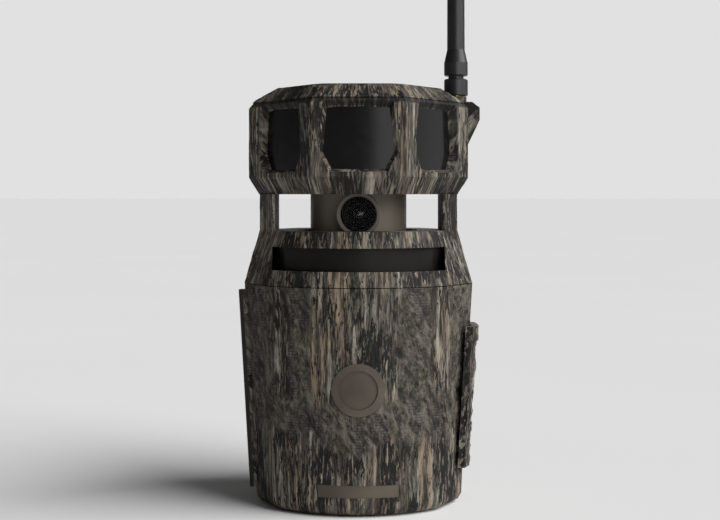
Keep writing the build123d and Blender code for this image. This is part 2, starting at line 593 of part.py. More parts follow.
def make_controls():
    tray = block((-PANEL_X, PANEL_X), (PANEL_Y, -9.6), PANEL_Z)
    tray -= block((2 - PANEL_X, PANEL_X - 2), (PANEL_Y + 2.4, 0), (PANEL_Z[0] + 2, PANEL_Z[1] - 2))
    tray -= block((-31.0, -1.0), (PANEL_Y - 1, PANEL_Y + 1.0), (83.0, 105.0))
    tray -= block((-27.0, -5.0), (PANEL_Y - 1, PANEL_Y + 5), (86.0, 102.0))
    tray -= block((SWITCH_X - 7, SWITCH_X + 7), (PANEL_Y - 1, PANEL_Y + 5), (SWITCH_Z - 1.6, SWITCH_Z + 1.6))
    tray -= block((CARD_X[0] - 0.3, CARD_X[1] + 0.3), (PANEL_Y - 1, PANEL_Y + 5),
                  (CARD_Z[0] - 0.3, CARD_Z[1] + 0.3))
    glass = block((-30.8, -1.2), (PANEL_Y + 0.1, PANEL_Y + 0.9), (83.2, 104.8))
    display = block((-27.5, -4.5), (PANEL_Y + 2.6, PANEL_Y + 5.4), (85.0, 103.0))

    keys = {}
    for name in KEYS:
        x, z = key_place(name)
        tray -= pin_y(KEY_R + 0.2, PANEL_Y - 1, PANEL_Y + 5, x, z)
        cap = pin_y(KEY_R, PANEL_Y - 1.6, PANEL_Y + 2.8, x, z)
        cap += pin_y(KEY_R + 0.9, PANEL_Y + 2.7, PANEL_Y + 3.5, x, z)
        cap += pin_y(1.4, PANEL_Y + 3.4, PANEL_Y + 5.6, x, z)
        keys[f"key_{name}"] = cap

    knob = block((SWITCH_X - 3, SWITCH_X + 3), (PANEL_Y - 2.0, PANEL_Y + 2.6),
                 (SWITCH_Z - 1.4, SWITCH_Z + 1.4))
    knob += block((SWITCH_X - 5, SWITCH_X + 5), (PANEL_Y + 2.6, PANEL_Y + 4.0),
                  (SWITCH_Z - 2.6, SWITCH_Z + 2.6))
    card = block(CARD_X, (PANEL_Y - 2.0, PANEL_Y + 30.0), CARD_Z)
    card -= block((CARD_X[1] - 3, CARD_X[1] + 1), (PANEL_Y + 27.0, PANEL_Y + 31.0), (60, 80))
    socket = block((CARD_X[0] - 2, CARD_X[1] + 2), (-20.0, 6.8), (CARD_Z[0] - 1.4, CARD_Z[1] + 1.4))
    socket -= block((CARD_X[0] - 0.2, CARD_X[1] + 0.2), (-21.0, 5.8), (CARD_Z[0] - 0.2, CARD_Z[1] + 0.2))
    board = block((-36.0, 36.0), BOARD_Y, (74.0, 105.0))
    chips = [
        block((-30, -16), (BOARD_Y[1], -14.6), (88, 102)),
        block((-10, 0), (BOARD_Y[1], -15.2), (92, 102)),
        block((-30, -22), (BOARD_Y[1], -15.2), (77, 85)),
        block((-14, -4), (BOARD_Y[1], -14.8), (77, 84)),
    ]
    modem = block((6, 32), (BOARD_Y[1], -13.6), (78, 102))
    return {
        "control_panel": tray, "display_glass": glass, "display_module": display,
        "mode_switch": knob, "memory_card": card, "card_socket": socket, "main_board": board,
        "board_chips": chips, "cellular_modem": modem, **keys,
    }


# ---------------------------------------------------------------- batteries
CELL_R, CELL_PITCH = 7.1, 15.6
CELL_ROWS_Y = (0.8, 16.4)
CELL_Z = (15.0, 63.8)


def make_battery_pack():
    places = [(CELL_PITCH * (i - 2.5), y) for i in range(6) for y in CELL_ROWS_Y]
    tray = block((-47.2, 47.2), (-7.6, 24.8), (12.4, 44.0))
    cells, springs = [], []
    for x, y in places:
        tray -= rod(CELL_R + 0.3, 13.6, 50.0, x, y)
        cells.append(rod(CELL_R, *CELL_Z, x, y) + rod(2.7, CELL_Z[1], CELL_Z[1] + 1.0, x, y))
        springs.append(tube(3.4, 2.6, 13.6, CELL_Z[0], x, y))
    plate = block((-47.2, 47.2), (-7.6, 24.8), (CELL_Z[1] + 1.0, CELL_Z[1] + 2.2))
    return {
        "battery_tray": tray, "battery_cells": cells, "battery_springs": springs,
        "contact_plate": plate,
    }


# ---------------------------------------------------------------- tree bracket and ports on the back
BRACKET_T = 3.0
LOOP_X, LOOP_W = 26.0, 9.0
LOOP_Z = (40.0, 80.0)
LOOP_GAP = 6.0


def make_tree_bracket():
    back = BACK_Y + 0.05
    plate = block((-33.0, 33.0), (back, back + BRACKET_T), (28.0, 92.0))
    plate = fillet(plate.edges().filter_by(Axis.Y), 5.0)
    bracket = plate
    for side in (-1, 1):
        low, high = sorted((side * (LOOP_X - LOOP_W / 2), side * (LOOP_X + LOOP_W / 2)))
        loop = block((low, high), (back + 1, back + BRACKET_T + LOOP_GAP + 4.5), LOOP_Z)
        loop -= block((low - 1, high + 1), (back + BRACKET_T, back + BRACKET_T + LOOP_GAP),
                      (LOOP_Z[0] + 5, LOOP_Z[1] - 5))
        for k in range(4):
            tooth = Pos((low + high) / 2, back + BRACKET_T + LOOP_GAP + 5.2, LOOP_Z[0] + 9 + 7.33 * k)
            loop -= tooth * Rot(45, 0, 0) * Box(20, 3.2, 3.2)
        bracket += loop
    bracket += pin_y(9.0, back, back + 6.0, 0, REAR_THREAD_Z)
    bracket -= pin_y(5.0, 40, 60, 0, REAR_THREAD_Z)
    for x, z in BRACKET_SCREWS:
        bracket -= pin_y(1.7, 40, 60, x, z)
    insert = pin_y(4.95, back, back + 6.0, 0, REAR_THREAD_Z)
    insert += pin_y(3.9, back - 2.8, back + 0.1, 0, REAR_THREAD_Z)
    insert += pin_y(6.4, back - 4.2, back - 2.7, 0, REAR_THREAD_Z)
    insert -= pin_y(2.6, back - 3.0, back + 7.0, 0, REAR_THREAD_Z)
    screws = []
    for x, z in BRACKET_SCREWS:
        screw = pin_y(1.3, back - 6.0, back + BRACKET_T + 0.1, x, z)
        head = pin_y(2.9, back + BRACKET_T, back + BRACKET_T + 1.6, x, z)
        slot = Pos(x, back + BRACKET_T + 1.6, z)
        head -= slot * Box(4.0, 1.4, 0.8) + slot * Box(0.8, 1.4, 4.0)
        screws.append(screw + head)
    return bracket, insert, screws


def make_power_port():
    socket = pin_y(4.4, 36.0, BACK_Y + 0.4, PORT_X, PORT_Z) - pin_y(2.8, 38.0, 60, PORT_X, PORT_Z)
    socket += pin_y(0.8, 37.5, 44.0, PORT_X, PORT_Z)
    plug = pin_y(2.6, 45.0, BACK_Y + 0.7, PORT_X, PORT_Z)
    plug += pin_y(6.0, BACK_Y + 0.5, BACK_Y + 2.3, PORT_X, PORT_Z)
    plug += block((PORT_X + 4, PORT_X + 10), (BACK_Y + 0.5, BACK_Y + 1.9), (PORT_Z - 2, PORT_Z + 2))
    return socket, plug


def make_tripod_insert():
    insert = rod(4.95, 0.0, 11.0)
    return insert - rod(2.6, -1, 10.0)


def cap_screw(shank_r, head_r, z_low, z_seat, z_top, x, y):
    """A vertical socket-head screw, its head seated at z_seat."""
    screw = rod(shank_r, z_low, z_seat + 0.1, x, y) + rod(head_r, z_seat, z_top, x, y)
    return screw - rod(1.1, z_top - 1.0, z_top + 1, x, y)


def make_screws():
    case = [cap_screw(1.2, 2.8, 96.0, 113.9, 115.8, x, y) for x, y in SCREW_TOWERS]
    post = [cap_screw(1.2, 2.6, 147.0, 166.1, 168.0, x, y) for x, y in POST_SCREWS]
    return case, post


# ---------------------------------------------------------------- badge and name plate on the door
BADGE_Z, BADGE_R = 62.3, 13.0
BADGE_RIM = 3.4         # width of the badge's raised rim
NAME_Z, NAME_HALF_W, NAME_H = 12.6, 20.0, 6.2
TRIM_SLACK = 0.05


def lower_case_within(inset):
    return stack(lower_section(0, inset), lower_section(DOOR_TOP_Z, inset))


def name_bar(slack):
    reach_x = NAME_HALF_W - slack
    reach_z = NAME_H / 2 - slack
    return block((-reach_x, reach_x), (-60, -40.0), (NAME_Z - reach_z, NAME_Z + reach_z))


def make_door_trim(door):
    """A plain round badge and a plain name plate, both set in pockets in the curved door."""
    floor, rim, face = lower_case_within(0.7), lower_case_within(-0.7), lower_case_within(0.25)
    pocketed = door - (pin_y(BADGE_R, -60, -40.0, 0, BADGE_Z) - floor) - (name_bar(0.0) - floor)
    disc = pin_y(BADGE_R - TRIM_SLACK, -60, -40.0, 0, BADGE_Z)
    ring = disc - pin_y(BADGE_R - BADGE_RIM, -70, -30, 0, BADGE_Z)
    badge = ((ring & rim) + (disc & face)) - floor
    return pocketed, badge, (name_bar(TRIM_SLACK) & face) - floor


def main():
    os.makedirs("parts", exist_ok=True)
    housing, door, seal = make_lower_case()
    bracket, rear_insert, bracket_screws = make_tree_bracket()
    port_socket, port_plug = make_power_port()
    door, badge, name_plate = make_door_trim(door)
    save("rear_housing", housing)
    save("front_door", door)
    save("door_seal", seal)
    save("door_badge", badge)
    save("name_plate", name_plate)
    save("hinge_pin", make_hinge_pin())
    save("side_latch", make_latch())
    save("latch_pin", make_latch_pin())
    save("middle_frame", make_middle_frame())
    save("head_shell", make_head_shell())
    save("head_cap", make_head_cap())
    save("turret_drum", make_turret_drum())
    save("tree_bracket", bracket)
    save("rear_insert", rear_insert)
    save("bracket_screws", *bracket_screws)
    save("power_socket", port_socket)
    save("power_plug", port_plug)
    save("tripod_insert", make_tripod_insert())

    jack, collar, whip = make_aerial()
    save("aerial_jack", jack)
    save("aerial_collar", collar)
    save("aerial_whip", whip)

    case_screws, post_screws = make_screws()
    save("case_screws", *case_screws)
    save("post_screws", *post_screws)
    carrier, boards, lamps = make_lamps()
    save("lamp_carrier", carrier)
    save("lamp_boards", *boards)
    save("infrared_lamps", *lamps)
    save("ir_windows", *make_panes())

    groups = [make_turret_parts(), make_drive(), make_sensors(), make_controls(), make_battery_pack()]
    for group in groups:
        for name, shape in group.items():
            save(name, *(shape if isinstance(shape, list) else [shape]))


main()
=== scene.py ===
import math

import bmesh
import bpy
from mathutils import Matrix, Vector, noise


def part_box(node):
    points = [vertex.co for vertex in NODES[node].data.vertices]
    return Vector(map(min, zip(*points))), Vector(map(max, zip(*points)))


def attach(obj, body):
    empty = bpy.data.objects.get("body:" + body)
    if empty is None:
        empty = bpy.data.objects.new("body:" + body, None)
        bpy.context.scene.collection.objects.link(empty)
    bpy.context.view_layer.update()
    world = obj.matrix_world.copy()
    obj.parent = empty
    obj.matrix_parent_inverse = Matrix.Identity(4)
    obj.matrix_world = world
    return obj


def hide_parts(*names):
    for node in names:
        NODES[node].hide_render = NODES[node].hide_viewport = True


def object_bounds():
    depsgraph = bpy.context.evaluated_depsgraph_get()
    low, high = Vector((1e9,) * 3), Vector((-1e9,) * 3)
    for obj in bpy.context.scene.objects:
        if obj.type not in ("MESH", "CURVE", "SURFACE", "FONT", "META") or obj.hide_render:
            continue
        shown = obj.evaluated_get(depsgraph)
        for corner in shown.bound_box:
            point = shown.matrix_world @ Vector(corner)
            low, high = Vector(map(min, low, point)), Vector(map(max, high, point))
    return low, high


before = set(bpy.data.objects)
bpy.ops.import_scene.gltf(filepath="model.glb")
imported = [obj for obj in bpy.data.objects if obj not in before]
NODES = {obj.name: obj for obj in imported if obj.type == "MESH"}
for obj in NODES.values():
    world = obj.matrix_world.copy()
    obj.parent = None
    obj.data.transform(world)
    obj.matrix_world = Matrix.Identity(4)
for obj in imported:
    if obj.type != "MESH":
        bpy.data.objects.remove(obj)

CAD_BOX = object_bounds()
MM = 0.001

# ---------------------------------------------------------------- landmarks taken from the frame
DOOR_LOW, DOOR_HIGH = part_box("front_door")
BADGE_LOW, BADGE_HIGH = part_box("door_badge")
PLATE_LOW, PLATE_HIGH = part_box("name_plate")
HEAD_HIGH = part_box("head_shell")[1]
PANES_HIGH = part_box("ir_windows")[1]
BADGE_CENTRE = (BADGE_LOW + BADGE_HIGH) / 2
BADGE_R = (BADGE_HIGH.z - BADGE_LOW.z) / 2
PLATE_CENTRE = (PLATE_LOW + PLATE_HIGH) / 2
PIN_LOW, PIN_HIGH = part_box("hinge_pin")
PIN_Y = (PIN_LOW.y + PIN_HIGH.y) / 2
PIN_R = (PIN_HIGH.y - PIN_LOW.y) / 2
LEAN = (PIN_HIGH.x - PIN_LOW.x - 2 * PIN_R) / (PIN_HIGH.z - PIN_LOW.z)    # of the hinge, outwards
STRIP_X = PIN_HIGH.x + LEAN * PIN_LOW.z - 1.7 * MM    # just outside the wall, at the base
ELEMENT_LOW, ELEMENT_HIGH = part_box("lens_element")
CELL_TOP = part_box("battery_cells")[1].z

# ---------------------------------------------------------------- the head's facets, windows and lens
FACET_REACH = 48.2 * MM                 # from the head's axis to its slanting facets
FACET_NORMAL = (0.804, 0.594)           # a slanting facet's outward direction: sideways, front or back
FACET_TURN = 53.5                       # degrees from the front to the next facet
FACET_TURNS = [0.0, FACET_TURN, 180 - FACET_TURN, 180.0, 180 + FACET_TURN, 360 - FACET_TURN]
HOOD_Z = PANES_HIGH.z + 0.3 * MM        # the hoods, darkened with painted shade, start here, above the windows
HOOD_DEPTH = 0.3 * MM                   # and this far behind the facets
SLANT_PANE_REACH = FACET_REACH - (HEAD_HIGH.y - PANES_HIGH.y)
PANE_HALF_W = 18.4 * MM
PANE_BULGE = 0.9 * MM
DOME_RISE = 0.9 * MM                    # how far the front lens bulges
DOME_STEPS = 14
LENS_TURNS = 64

# ---------------------------------------------------------------- depth and grain of the bark relief
STONE_DEPTH = 0.95 * MM
STONE_STEP = 0.32 * MM
DOOR_FLUTE_DEPTH = 0.5 * MM
SHELL_FLUTE_DEPTH = 0.3 * MM
LATCH_DEPTH = 0.9 * MM
LATCH_STEP = 0.3 * MM
LATCH_FLUTE_DEPTH = 0.2 * MM
SUNK = 0.1 * MM                         # the door's and latch's relief is set in by this much
SHELL_SUNK = 0.05 * MM                  # and that of the frame, head and housing by this much
HINGE_CLEAR = (4.5 * MM, 8.0 * MM)      # relief grows to full between these distances from the hinge
DOOR_TOP_EDGE = 1.2 * MM                # plain margins of the door
DOOR_FOOT_EDGE = 3 * MM
BADGE_FADE = 4 * MM                     # relief starts at the badge's rim and is full this far out
PLATE_MARGIN = 1 * MM                   # and starts this far from the plate
PLATE_FADE = 3 * MM
STRIP_FADE = 0.3 * MM
FINE_EDGE = 1.1 * MM                    # longest triangle edge of the door and latch
MIDDLE_EDGE = 1.5 * MM                  # of the frame and head
COARSE_EDGE = 2.2 * MM                  # of the housing and windows
OUTWARD = 0.35                          # least cosine to the outward direction of a face of the skin
AXIS_RADIUS = 20 * MM                   # the skin lies further than this from the Z axis
NO_AREA = 1e-14                         # square metres; a smaller triangle has no direction
ON_FACE = 0.05 * MM                     # a point this near a window's outer face lies on it
LEVEL_NORMAL = 0.93                     # where the normal's Z is past this, the print is laid flat

# ---------------------------------------------------------------- stony parts of the door
# Each pair is where a part begins to change and where the change is full, sideways or up.
MIDDLE_ENDS = (19 * MM, 24 * MM)        # the fluted middle gives way to stone
COLUMN_STARTS = (33 * MM, 37 * MM)      # the outer fluted columns, sideways
COLUMN_ENDS = (47 * MM, 43 * MM)
COLUMN_BASE = (52 * MM, 60 * MM)        # and up
LOW_STONE = (58 * MM, 50 * MM)          # below the badge all is stone
FOOT_ENDS = (28 * MM, 34 * MM)          # but for the fluted foot
FOOT_RISE = 0.22                        # whose top rises this steeply to the sides
JAG_REACH = 5 * MM                      # how far the borders wander

# ---------------------------------------------------------------- stage, lights and camera
FLOOR_DROP = 0.2 * MM                   # keeps the floor's face apart from the base's
FLOOR_HALF = 60.0                       # metres from the middle to each side
BACKDROP = 0.75                         # how bright the plain background looks
WORLD_LIGHT = 0.08                      # how much light it sheds
SOFTBOXES = [                           # name, place, target, size in metres, power in watts
    ("softbox_front", (0.75, -1.5, 0.42), (0, 0, 0.17), (1.3, 1.2), 12.5),
    ("softbox_side", (1.0, 0.25, 0.28), (0, 0, 0.16), (0.5, 0.7), 0.7),
    ("softbox_rear", (0.4, 1.5, 0.9), (0, 0, 0.16), (1.2, 1.1), 9.0),
]
SENSOR_W = 36.0                         # millimetres, as is the lens
LENS = 67.0
CAMERA_PLACE = (0.0008, -0.700, 0.157)
CAMERA_SHIFT = -0.09                    # upright shift, as a share of the picture's width


# ---------------------------------------------------------------- small node-graph helper
MIX_SOCKETS = {"VECTOR": (4, 5, 1), "RGBA": (6, 7, 2)}      # a Mix node's two inputs and its output
WRAP_RADIUS = 52 * MM       # the print is wrapped round a drum of this radius
WRAP_SPREAD = 0.12          # and keeps this share of a point's own X and Y
ROOF_TURN = 20              # degrees that the roof's streaks are turned


class Graph:
    """Builds one material's nodes. Sockets may be given a number, a colour or another socket."""

    def __init__(self, name):
        self.material = bpy.data.materials.new(name)
        self.material.use_nodes = True
        self.tree = self.material.node_tree
        self.shader = self.tree.nodes["Principled BSDF"]
        self.coords = self.tree.nodes.new("ShaderNodeTexCoord").outputs["Object"]

    def plug(self, socket, value):
        if isinstance(value, bpy.types.NodeSocket):
            self.tree.links.new(value, socket)
        elif isinstance(value, tuple) and len(value) == 3 and socket.type == "RGBA":
            socket.default_value = (*value, 1.0)
        else:
            socket.default_value = value

    def set(self, **values):
        """Sets the shader's sockets; an underscore in a name stands for a space."""
        for key, value in values.items():
            self.plug(self.shader.inputs[key.replace("_", " ")], value)

    def mapped(self, source, kind, numbers):
        """The coordinates through a Mapping node, whose kind is Scale or Rotation."""
        node = self.tree.nodes.new("ShaderNodeMapping")
        node.inputs[kind].default_value = numbers
        self.plug(node.inputs["Vector"], source)
        return node.outputs[0]

    def stretch(self, x, y, z, source=None):
        """Scaled coordinates. A small number draws the pattern out along that axis."""
        return self.mapped(source or self.coords, "Scale", (x, y, z))

    def turned(self, source, degrees):
        """The coordinates turned about the Y axis, so that upright strokes slant."""
        return self.mapped(source, "Rotation", (0, math.radians(degrees), 0))

    def laid_flat(self):
        """Coordinates whose upright streaks run across a level surface."""
        return self.mapped(self.coords, "Rotation", (math.radians(90), 0, math.radians(ROOF_TURN)))

    def vector(self, kind, a, b=(0, 0, 0)):
        """Vector arithmetic, where b is a number for SCALE."""
        node = self.tree.nodes.new("ShaderNodeVectorMath")
        node.operation = kind
        self.plug(node.inputs[0], a)
        if kind == "SCALE":
            self.plug(node.inputs["Scale"], b)
        else:
            self.plug(node.inputs[1], b)
        return node.outputs["Value" if kind == "LENGTH" else "Vector"]

    def wrapped(self):
        """Coordinates wrapped round the Z axis, so that streaks run down every slope."""
        flat = self.vector("MULTIPLY", self.coords, (1, 1, 0))
        reach = self.vector("LENGTH", flat)
        upright = self.vector("MULTIPLY", self.coords, (WRAP_SPREAD, WRAP_SPREAD, 1))
        sunk = self.tree.nodes.new("ShaderNodeCombineXYZ")
        self.plug(sunk.inputs["Z"], self.math("MULTIPLY", reach, -1.0))
        around = self.vector("SCALE", self.vector("NORMALIZE", flat), (1 - WRAP_SPREAD) * WRAP_RADIUS)
        return self.vector("ADD", self.vector("ADD", upright, around), sunk.outputs[0])

    def height(self):
        split = self.tree.nodes.new("ShaderNodeSeparateXYZ")
        self.plug(split.inputs[0], self.coords)
        return split.outputs["Z"]

    def noise(self, scale, detail, roughness=0.5, source=None):
        node = self.tree.nodes.new("ShaderNodeTexNoise")
        self.plug(node.inputs["Vector"], source or self.coords)
        node.inputs["Scale"].default_value = scale
        node.inputs["Detail"].default_value = detail
        node.inputs["Roughness"].default_value = roughness
        return node.outputs["Fac"]

    def cells(self, scale):
        node = self.tree.nodes.new("ShaderNodeTexVoronoi")
        self.plug(node.inputs["Vector"], self.coords)
        node.inputs["Scale"].default_value = scale
        return node.outputs["Distance"]

    def math(self, kind, a, b=0.0):
        node = self.tree.nodes.new("ShaderNodeMath")
        node.operation = kind
        self.plug(node.inputs[0], a)
        self.plug(node.inputs[1], b)
        return node.outputs[0]

    def ramp(self, value, *stops):
        """A colour ramp through (position, colour) stops."""
        node = self.tree.nodes.new("ShaderNodeValToRGB")
        elements = node.color_ramp.elements
        while len(elements) < len(stops):
            elements.new(0.5)
        for element, (place, colour) in zip(elements, stops):
            element.position = place
            element.color = (*colour, 1.0)
        self.plug(node.inputs["Fac"], value)
        return node.outputs["Color"]

    def between(self, value, low, high, to_low=0.0, to_high=1.0):
        """Carries low..high to to_low..to_high, clamped."""
        node = self.tree.nodes.new("ShaderNodeMapRange")
        ends = {"From Min": low, "From Max": high, "To Min": to_low, "To Max": to_high}
        for key, number in ends.items():
            node.inputs[key].default_value = number
        self.plug(node.inputs["Value"], value)
        return node.outputs["Result"]

    def mottled(self, scale, detail, dark, light):
        """Two colours in soft patches."""
        return self.ramp(self.noise(scale, detail), (0.3, dark), (0.7, light))

    def uneven(self, scale, detail, low, high):
        """A number that wanders from low to high."""
        return self.between(self.noise(scale, detail), 0.3, 0.7, low, high)

    def mix(self, share, a, b, data="RGBA"):
        """Carries a to b as share goes from 0 to 1; data is RGBA or VECTOR."""
        node = self.tree.nodes.new("ShaderNodeMix")
        node.data_type = data
        first, second, result = MIX_SOCKETS[data]
        self.plug(node.inputs["Factor"], share)
        self.plug(node.inputs[first], a)
        self.plug(node.inputs[second], b)
        return node.outputs[result]

    def attribute(self, name):
        node = self.tree.nodes.new("ShaderNodeAttribute")
        node.attribute_name = name
        return node.outputs["Fac"]

    def bump(self, height, depth, strength):
        node = self.tree.nodes.new("ShaderNodeBump")
        node.inputs["Strength"].default_value = strength
        node.inputs["Distance"].default_value = depth
        self.plug(node.inputs["Height"], height)
        self.plug(self.shader.inputs["Normal"], node.outputs[0])


# ---------------------------------------------------------------- materials
BLACK = (0.0035, 0.0032, 0.0028)
CHAR = (0.013, 0.0115, 0.0095)
UMBER = (0.040, 0.031, 0.024)
EARTH = (0.095, 0.074, 0.055)
TAUPE = (0.080, 0.067, 0.052)
STONE = (0.140, 0.124, 0.100)
PALE = (0.270, 0.244, 0.200)
TAN = (0.225, 0.176, 0.124)
PLUM = (0.056, 0.042, 0.045)
OLIVE = (0.062, 0.063, 0.036)
LEDGE_WAVES = 2 * math.pi / (1.4 * MM)     # one fine level line is printed every 1.4 mm
BAND_W = 16 * MM                           # height of the coloured band at each battery's top


def bark(name):
    """Printed bark camouflage. The mesh attribute rock marks where the print is stony instead of
    streaked, painted_shade the painted shade that darkens the print in the relief's creases and in the
    hoods above the windows, strip the plain dark hinge edge, and level a flat roof."""
    g = Graph(name)
    skin = g.mix(g.attribute("level"), g.wrapped(), g.laid_flat(), "VECTOR")

    # streaks: fine fibres on wider planks, with dark dashes in clusters and a dark gap between planks
    fibre = g.noise(1250.0, 3.0, 0.7, g.stretch(1, 1, 0.10, skin))
    plank = g.noise(380.0, 1.0, 0.5, g.stretch(1, 1, 0.07, skin))
    dash = g.noise(850.0, 3.0, 0.7, g.stretch(1, 1, 0.17, skin))
    cluster = g.noise(75.0, 1.0, 0.5, g.stretch(1, 1, 0.45, skin))
    tint = g.noise(170.0, 0.0, 0.5, g.stretch(1, 1, 0.14, skin))
    tone = g.math("ADD", g.math("MULTIPLY", fibre, 0.6), g.math("MULTIPLY", plank, 0.4))
    grey = g.ramp(tone, (0.36, BLACK), (0.43, CHAR), (0.48, TAUPE), (0.54, STONE), (0.62, PALE))
    warm = g.ramp(tone, (0.36, BLACK), (0.43, UMBER), (0.50, EARTH), (0.60, TAN))
    hue = g.ramp(tint, (0.36, OLIVE), (0.46, TAUPE), (0.54, PLUM), (0.64, UMBER))
    streak = g.mix(g.between(tint, 0.44, 0.62), grey, warm)
    streak = g.mix(g.between(plank, 0.42, 0.30, 0.0, 0.7), streak, hue)
    darkness = g.math("ADD", dash, g.math("MULTIPLY", g.math("SUBTRACT", cluster, 0.5), 0.65))
    streak = g.mix(g.between(darkness, 0.515, 0.550), streak, BLACK)
    split = g.math("ABSOLUTE", g.math("SUBTRACT", plank, 0.5))
    streak = g.mix(g.between(split, 0.004, 0.020, 0.85, 0.0), streak, BLACK)

    # stone: strokes that lean either way, on plum, olive and grey facets with cracks and level lines
    cast = g.noise(90.0, 1.0, 0.5, g.stretch(1, 1, 0.6, skin))
    patch = g.between(g.noise(130.0, 0.0, 0.5, g.stretch(1, 1, 0.7, skin)), 0.47, 0.53)
    leaning = g.noise(500.0, 4.0, 0.72, g.stretch(1, 1, 0.42, g.turned(skin, 32.0)))
    crossing = g.noise(560.0, 4.0, 0.72, g.stretch(1, 1, 0.50, g.turned(skin, -16.0)))
    stroke = g.math("ADD", crossing, g.math("MULTIPLY", g.math("SUBTRACT", leaning, crossing), patch))
    facet = g.noise(210.0, 3.0, 0.6, g.stretch(1, 1, 0.5, g.turned(skin, 24.0)))
    stony = g.ramp(stroke, (0.38, BLACK), (0.46, UMBER), (0.54, TAUPE), (0.64, STONE))
    stony = g.mix(g.between(cast, 0.40, 0.60, 0.0, 0.25), stony, PLUM)
    stony = g.mix(g.between(cast, 0.56, 0.40, 0.0, 0.25), stony, OLIVE)
    stony = g.mix(g.between(facet, 0.52, 0.64, 0.0, 0.40), stony, STONE)
    stony = g.mix(g.between(facet, 0.48, 0.36, 0.0, 0.60), stony, CHAR)
    crack = g.math("ABSOLUTE", g.math("SUBTRACT", facet, 0.5))
    stony = g.mix(g.between(crack, 0.002, 0.018, 0.85, 0.0), stony, BLACK)
    ledge = g.math("SINE", g.math("MULTIPLY", g.height(), LEDGE_WAVES))
    hatched = g.math("MULTIPLY", g.between(cast, 0.54, 0.60), g.between(ledge, 0.1, 0.9, 0.0, 0.65))
    stony = g.mix(hatched, stony, CHAR)

    base = g.mix(g.attribute("rock"), streak, stony)
    # painted shade: darkens the print towards black in the relief's creases and in the hoods above the
    # windows
    base = g.mix(g.math("MULTIPLY", g.attribute("painted_shade"), 0.8), base, BLACK)
    base = g.mix(g.attribute("strip"), base, CHAR)
    g.set(Base_Color=base, Roughness=g.between(fibre, 0.3, 0.7, 0.62, 0.80))
    g.set(Specular_IOR_Level=0.3)
    g.bump(g.noise(1000.0, 1.0, 0.6, g.stretch(1, 1, 0.14, skin)), 0.0003, 0.8)
    return g.material


def moulded(name, colour, rough, mottle=0.18, grain=0.00004, spec=0.4):
    """Moulded plastic: a fine spark-eroded grain, faint flow marks and rubbed variation in gloss."""
    g = Graph(name)
    flow = g.noise(38.0, 3.0, 0.55)
    fine = g.noise(2600.0, 2.0, 0.6)
    darker = tuple(c * (1 - mottle) for c in colour)
    lighter = tuple(min(1.0, c * (1 + mottle)) for c in colour)
    g.set(Base_Color=g.ramp(flow, (0.3, darker), (0.7, lighter)))
    g.set(Roughness=g.between(g.noise(95.0, 4.0, 0.6), 0.3, 0.7, rough - 0.06, rough + 0.07))
    g.set(Specular_IOR_Level=spec)
    g.bump(fine, grain, 0.8)
    return g.material


def metal(name, colour, rough=0.3, across=(60, 60, 2600)):
    """Turned or rolled metal with fine tool marks."""
    g = Graph(name)
    marks = g.noise(1.0, 3.0, 0.6, g.stretch(*across))
    stain = g.between(g.noise(120.0, 4.0, 0.6), 0.45, 0.8, 0.0, 0.35)
    g.set(Base_Color=g.mix(stain, colour, tuple(c * 0.45 for c in colour)))
    g.set(Metallic=1.0, Roughness=g.between(marks, 0.3, 0.7, rough - 0.08, rough + 0.12))
    g.bump(marks, 0.00002, 0.5)
    return g.material


def smoked(name):
    """Infrared-clear window: nearly black, with a faint orange-peel skin."""
    g = Graph(name)
    g.set(Base_Color=g.mottled(30.0, 1.0, (0.0035, 0.0035, 0.0038), (0.005, 0.005, 0.005)))
    g.set(Roughness=g.uneven(200.0, 2.0, 0.15, 0.19))
    g.set(Specular_IOR_Level=0.22)
    g.bump(g.noise(140.0, 1.0), 0.00002, 0.2)
    return g.material


def polished(name):
    """Polished black glass, for the lens."""
    g = Graph(name)
    g.set(Base_Color=g.mottled(60.0, 1.0, (0.003, 0.003, 0.0025), (0.006, 0.005, 0.004)))
    g.set(Roughness=g.uneven(300.0, 2.0, 0.05, 0.11))
    g.set(Specular_IOR_Level=1.0)
    g.bump(g.noise(220.0, 1.0), 0.00002, 0.2)
    return g.material


def clear(name, colour, rough, through):
    """Clear cast resin, for the lamps."""
    g = Graph(name)
    g.set(Base_Color=g.mottled(80.0, 2.0, colour, tuple(c * 0.85 for c in colour)))
    g.set(Roughness=g.uneven(400.0, 3.0, rough, rough + 0.05))
    g.set(Transmission_Weight=through, IOR=1.5, Specular_IOR_Level=0.5)
    return g.material


def coated_glass(name):
    """Thin coated cover glass: seen through, with a weak sharp reflection."""
    g = Graph(name)
    g.set(Base_Color=g.mottled(80.0, 1.0, (0.002, 0.002, 0.0025), (0.004, 0.004, 0.005)))
    g.set(Roughness=g.uneven(400.0, 2.0, 0.02, 0.05))
    g.set(Specular_IOR_Level=0.2, Alpha=0.25)
    return g.material


def circuit(name, colour):
    """Solder-masked board with tracks and pads showing through."""
    g = Graph(name)
    brick = g.tree.nodes.new("ShaderNodeTexBrick")
    g.plug(brick.inputs["Vector"], g.stretch(420, 420, 420))
    brick.inputs["Color1"].default_value = (*colour, 1)
    brick.inputs["Color2"].default_value = (*(c * 0.7 for c in colour), 1)
    brick.inputs["Mortar"].default_value = (*(min(1, c * 2.2) for c in colour), 1)
    pads = g.between(g.cells(380.0), 0.16, 0.20, 1.0, 0.0)
    g.set(Base_Color=g.mix(pads, brick.outputs["Color"], (0.75, 0.62, 0.32)))
    g.set(Metallic=g.math("MULTIPLY", pads, 0.9), Roughness=g.between(pads, 0, 1, 0.42, 0.28))
    return g.material


